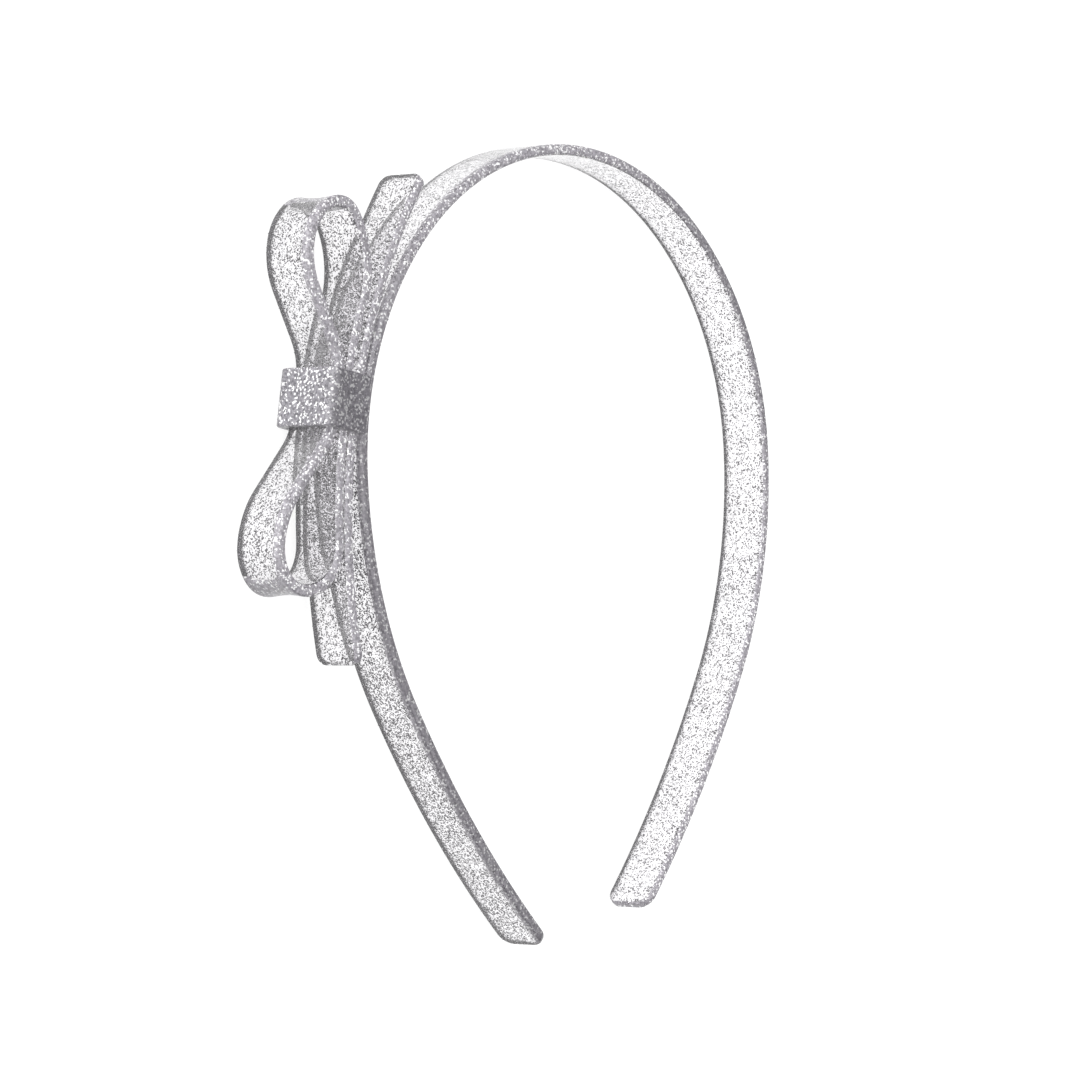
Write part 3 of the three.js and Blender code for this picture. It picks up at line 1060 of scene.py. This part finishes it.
def knot_surface(knot, bow):
    """The knot's outline carried along the bow, its rim rounded by a quarter circle at both mouths.

    The flank mask, painted shade, is the square of the way over the shoulder, from the outer face to
    the flank. The satin mask is the share of the bow's direction in that quarter circle's normal.
    """
    from_end = knot.rim_round * (1 - np.cos(RIM_ANGLES))
    inset = knot.rim_round * (1 - np.sin(RIM_ANGLES))
    half = knot.length / 2
    run = np.concatenate([from_end - half, half - from_end[::-1]]) + knot.shift
    outline = knot_outline(knot, bow, np.concatenate([inset, inset[::-1]]))
    run = np.broadcast_to(run[:, None, None], (*outline.shape[:2], 1))
    past = np.abs(outline[..., 1]) - knot.width / 2 + knot.shoulder_round
    flank = np.clip(past / knot.shoulder_round, 0, 1) ** 2
    satin = np.concatenate([np.cos(RIM_ANGLES), np.cos(RIM_ANGLES[::-1])])
    return np.concatenate([run, outline], axis=-1), flank, np.broadcast_to(satin[:, None], flank.shape)


def knot_flakes(knot, bow, look, random):
    """Flakes spread through the knot's two legs and its top, lying along each of those slabs."""
    cover = look.knot_cover
    outer = knot.width / 2 - cover
    inner = bow.ribbon_width / 2 + knot.side_gap + cover
    volume = knot.length * knot.width * (knot.top - knot.foot)
    count = int(volume / MM**3 * look.density * look.knot_share)
    run = (knot.length / 2 - cover) * random.uniform(-1, 1, count) + knot.shift
    height = random.uniform(knot.foot + cover, knot.top - cover, count)
    side = outer * random.uniform(-1, 1, count)
    in_top = height > knot.ceiling + cover
    in_leg = np.abs(side) > inner
    round_by = knot.shoulder_round
    past = np.maximum(0, np.abs(side) - (knot.width / 2 - round_by))
    over = np.maximum(0, height - (knot.top - round_by))
    kept = (in_top | in_leg) & (np.hypot(past, over) < round_by - cover)
    centres = np.stack([run, height, side], axis=1)[kept]
    facing_up = in_top[kept][:, None]
    normals = np.where(facing_up, [[0.0, 1.0, 0.0]], [[0.0, 0.0, 1.0]])
    sides = np.broadcast_to([1.0, 0.0, 0.0], normals.shape)
    bright_share = np.where(in_top[kept], look.knot_bright, look.bright_share * LEG_BRIGHT)
    return flake_cloud(centres, normals, sides, bright_share, look.knot_size, look, random)


class HEADBAND_OT_band(Operator):
    """Make the hoop of clear acetate with its glitter"""

    bl_idname = "headband.band"
    bl_label = "Band"

    def execute(self, context):
        settings = context.scene.headband
        path, strip = band_path(settings.band), band_strip(settings)
        dress_strip("band_acetate", "band", path, strip, from_hoop, settings)
        return {"FINISHED"}


class HEADBAND_OT_bow_tails(Operator):
    """Make the strip whose ends are the bow's two tails"""

    bl_idname = "headband.bow_tails"
    bl_label = "Bow tails"

    def execute(self, context):
        settings = context.scene.headband
        bow = settings.bow
        strip = new_strip(bow.tail_width, bow.ribbon_sheet, settings.band.edge_round, bow.end_round)
        dress_strip("tails_acetate", "bow_tails", tails_path(bow), strip, from_bow, settings)
        return {"FINISHED"}


class HEADBAND_OT_bow_loops(Operator):
    """Make the ring that forms the bow's two loops"""

    bl_idname = "headband.bow_loops"
    bl_label = "Bow loops"

    def execute(self, context):
        settings = context.scene.headband
        bow, edge = settings.bow, settings.band.edge_round
        path, noses = loops_path(bow)
        strip = new_strip(
            bow.ribbon_width,
            bow.ribbon_sheet,
            edge,
            edge,
            noses=noses,
            bends=[noses[0] + BEND_SHIFT, noses[1] - BEND_SHIFT],
            fade=settings.acetate.loop_fade,
            flare=bow.flare,
            flare_span=bow.flare_span,
        )
        dress_strip("loops_acetate", "bow_loops", path, strip, from_bow, settings)
        return {"FINISHED"}


class HEADBAND_OT_bow_knot(Operator):
    """Make the cap bent over the middle of the bow"""

    bl_idname = "headband.bow_knot"
    bl_label = "Bow knot"

    def execute(self, context):
        settings = context.scene.headband
        random = np.random.default_rng(settings.glitter.seed)
        look = settings.acetate
        surface, flank, satin = knot_surface(settings.knot, settings.bow)
        # The knot's rim mask is painted shade on its flanks.
        rim = look.knot_flank_shade * flank
        finishes = [knot_material(look), edge_material(look)]
        body = lofted_piece("knot_acetate", from_bow(surface, settings), rim, satin, finishes)
        seat_on_body(body, "bow_knot")
        flakes, tones = knot_flakes(settings.knot, settings.bow, settings.glitter, random)
        silver = glitter_material(settings.glitter)
        seat_on_body(flake_piece("knot_glitter", from_bow(flakes, settings), tones, silver, random))
        return {"FINISHED"}


# Stage


def make_floor(look):
    """A flat square under the headband."""
    half = look.floor_side / 2
    mesh = bpy.data.meshes.new("floor")
    corners = [(-half, -half, 0), (half, -half, 0), (half, half, 0), (-half, half, 0)]
    mesh.from_pydata(corners, [], [(0, 1, 2, 3)])
    mesh.materials.append(floor_material(look))
    add_object("floor", mesh)


def make_light(look):
    """An even white surround with large soft boxes and one dark flag, each a smooth step of its angle."""
    world = bpy.data.worlds.new("studio")
    world.use_nodes = True
    bpy.context.scene.world = world
    tree = world.node_tree
    background = tree.nodes["Background"]
    set_inputs(background, {"Color": WHITE})
    direction = add_node(tree, "TexCoord")
    total = add_node(tree, "Value")
    total.outputs["Value"].default_value = look.sky_strength
    for towards, outer, inner, strength in LIGHT_BOXES:
        angle_to = add_node(tree, "VectorMath", operation="DOT_PRODUCT")
        angle_to.inputs[1].default_value = Vector(towards).normalized()
        step = add_node(tree, "MapRange", interpolation_type="SMOOTHSTEP")
        set_inputs(step, {
            "From Min": cos(radians(outer)),
            "From Max": cos(radians(inner)),
            "To Max": strength * look.box_strength,
        })
        with_box = add_node(tree, "Math", operation="ADD")
        join(
            tree,
            (direction, "Generated", angle_to, 0),
            (angle_to, "Value", step, "Value"),
            (step, "Result", with_box, 0),
            (total, "Value", with_box, 1),
        )
        total = with_box
    join(tree, (total, "Value", background, "Strength"))


def make_camera(settings):
    """The camera at the photographer's place, turned by yaw, pitch and roll about the hoop's own axes."""
    level = cos(CAMERA_PITCH)
    ahead = Vector((sin(CAMERA_YAW) * level, -sin(CAMERA_PITCH), -cos(CAMERA_YAW) * level))
    right = Vector((cos(CAMERA_YAW), 0.0, sin(CAMERA_YAW)))
    up = right.cross(ahead)
    rolled_right = cos(CAMERA_ROLL) * right + sin(CAMERA_ROLL) * up
    rolled_up = cos(CAMERA_ROLL) * up - sin(CAMERA_ROLL) * right
    lean = lean_matrix(settings)
    turn = lean @ Matrix((rolled_right, rolled_up, -ahead)).transposed()
    data = bpy.data.cameras.new("camera")
    data.lens = CAMERA_LENS
    data.sensor_width = CAMERA_SENSOR
    camera = add_object("camera", data)
    place = lean @ CAMERA_PLACE + Vector(crown_centre(settings))
    camera.matrix_world = Matrix.Translation(place) @ turn.to_4x4()
    bpy.context.scene.camera = camera


class HEADBAND_OT_stage(Operator):
    """Make the floor, the light and the camera"""

    bl_idname = "headband.stage"
    bl_label = "Stage"

    def execute(self, context):
        settings = context.scene.headband
        make_camera(settings)
        make_floor(settings.stage)
        make_light(settings.stage)
        context.scene.view_settings.view_transform = "Standard"
        cycles = context.scene.cycles
        cycles.caustics_refractive = False
        cycles.caustics_reflective = False
        cycles.max_bounces = MOST_BOUNCES
        cycles.glossy_bounces = MIRROR_BOUNCES
        cycles.transmission_bounces = CLEAR_BOUNCES
        return {"FINISHED"}


# Add-on


class HEADBAND_PT_sidebar(Panel):
    """The headband's pieces and settings"""

    bl_label = "Bow headband"
    bl_space_type = "VIEW_3D"
    bl_region_type = "UI"
    bl_category = "Headband"

    def draw(self, context):
        settings = context.scene.headband
        for operator in OPERATORS:
            self.layout.operator(operator.bl_idname)
        for group in HeadbandSettings.__annotations__:
            box = self.layout.box()
            box.label(text=group.capitalize())
            for name in getattr(settings, group).bl_rna.properties.keys():
                if name not in {"rna_type", "name"}:
                    box.prop(getattr(settings, group), name)


OPERATORS = (
    HEADBAND_OT_stage,
    HEADBAND_OT_band,
    HEADBAND_OT_bow_tails,
    HEADBAND_OT_bow_loops,
    HEADBAND_OT_bow_knot,
)
CLASSES = (
    BandSizes,
    BowSizes,
    KnotSizes,
    AcetateLook,
    GlitterLook,
    StageLook,
    HeadbandSettings,
    *OPERATORS,
    HEADBAND_PT_sidebar,
)


def register():
    """Registers the classes and hangs the settings on the scene."""
    for item in CLASSES:
        bpy.utils.register_class(item)
    bpy.types.Scene.headband = PointerProperty(type=HeadbandSettings)


def unregister():
    """Takes the settings off the scene and unregisters the classes."""
    del bpy.types.Scene.headband
    for item in reversed(CLASSES):
        bpy.utils.unregister_class(item)


def main():
    """Builds the stage and every piece."""
    register()
    bpy.ops.headband.stage()
    bpy.ops.headband.band()
    bpy.ops.headband.bow_tails()
    bpy.ops.headband.bow_loops()
    bpy.ops.headband.bow_knot()


if __name__ == "__main__":
    main()
